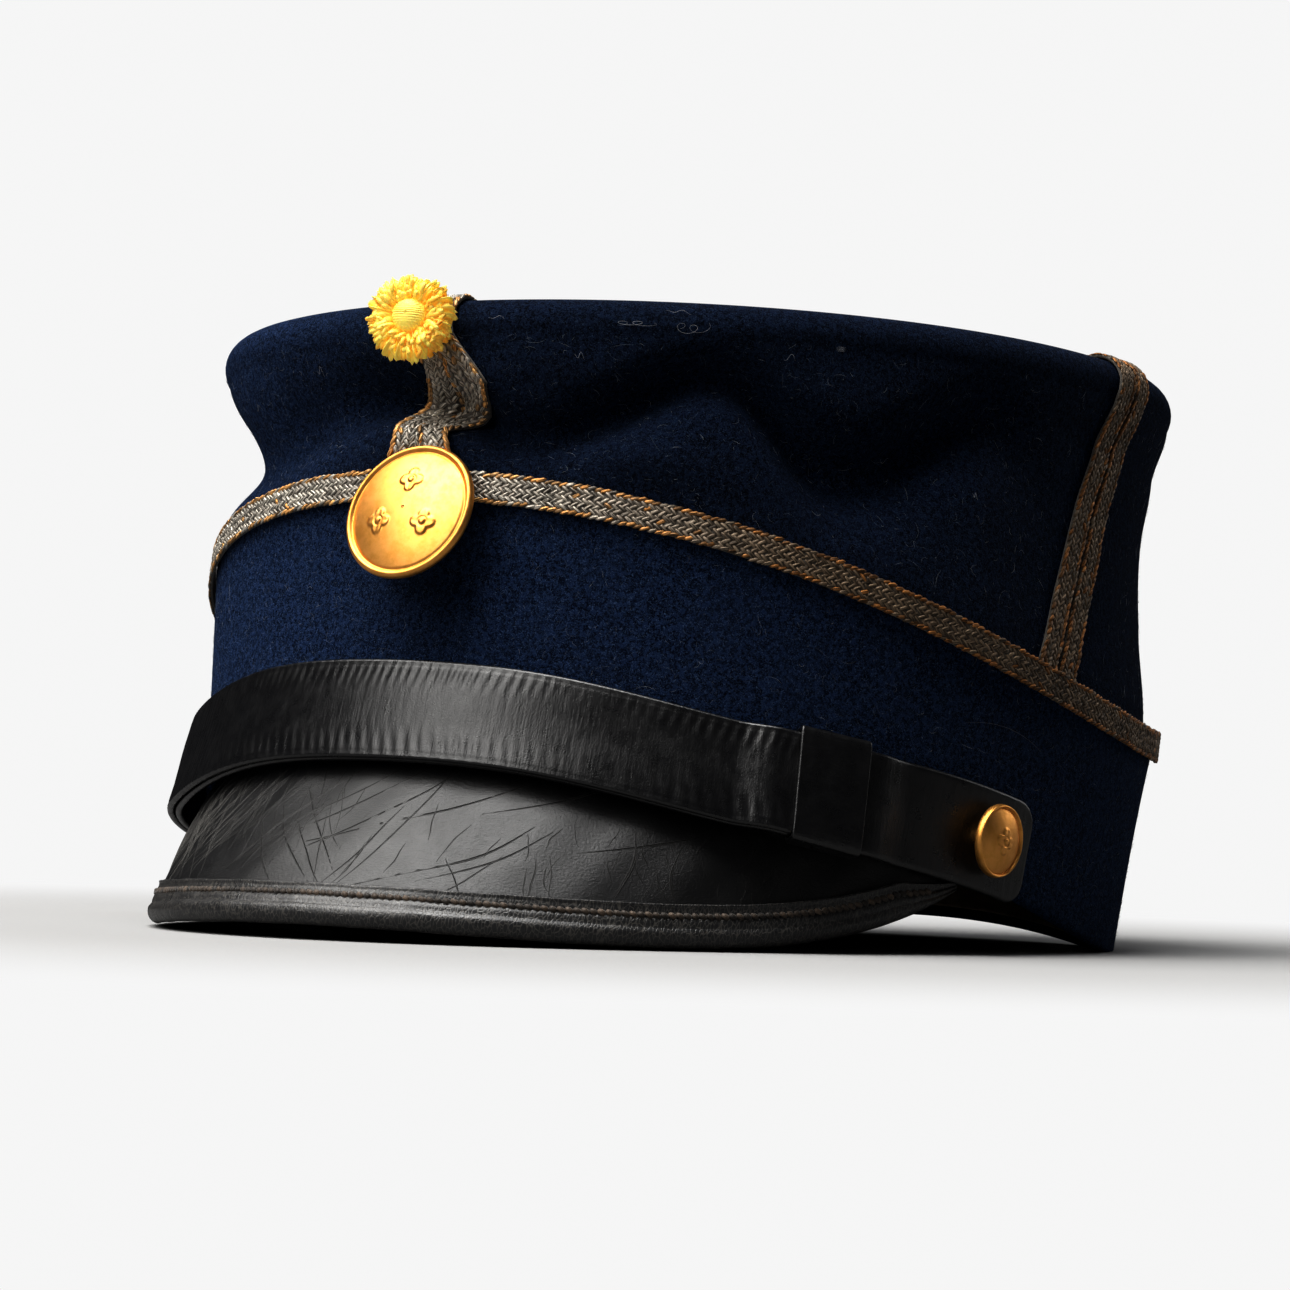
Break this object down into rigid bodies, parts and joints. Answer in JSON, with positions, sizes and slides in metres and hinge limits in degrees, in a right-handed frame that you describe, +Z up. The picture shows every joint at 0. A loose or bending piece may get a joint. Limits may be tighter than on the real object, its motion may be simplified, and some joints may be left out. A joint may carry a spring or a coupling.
{
  "type": "uniform cap",
  "caption": "Low stiff-banded cloth cap with a folded crown, leather peak, buttoned chin strap over the peak, flat braid, front button and thread cockade.",
  "frame": {"origin": "centre of the cap's outline in plan, at the level of the surface that it rests on", "axes": "-Y is the wearer's front, +X the wearer's left, +Z up; the cap leans back as it rests on the peak's edge and the rim"},
  "size_m": [0.1848, 0.226, 0.1215],
  "materials": {
    "navy_cloth": "felted wool",
    "tarnished_braid": "plaited metal thread, tarnished",
    "black_leather": "glossy, creased",
    "tan_leather": "plain",
    "gilt_brass": "gilt, satin",
    "yellow_silk": "silk thread"
  },
  "bodies": {
    "root": {"band": "navy_cloth", "crown_front_right": "navy_cloth", "crown_front_left": "navy_cloth", "crown_back_left": "navy_cloth", "crown_back_right": "navy_cloth", "top_disc": "navy_cloth", "sweatband": "tan_leather", "peak": "black_leather", "peak_binding": "black_leather", "ring_braid": "tarnished_braid", "side_braid_front": "tarnished_braid", "side_braid_back": "tarnished_braid", "back_braid_left": "tarnished_braid", "back_braid_right": "tarnished_braid", "loop_braid_right": "tarnished_braid", "loop_braid_left": "tarnished_braid", "chin_strap_inner": "black_leather", "chin_strap_outer": "black_leather", "strap_keeper": "black_leather", "front_button": "gilt_brass", "side_button_left": "gilt_brass", "side_button_right": "gilt_brass", "cockade": "yellow_silk"}
  },
  "joints": []
}
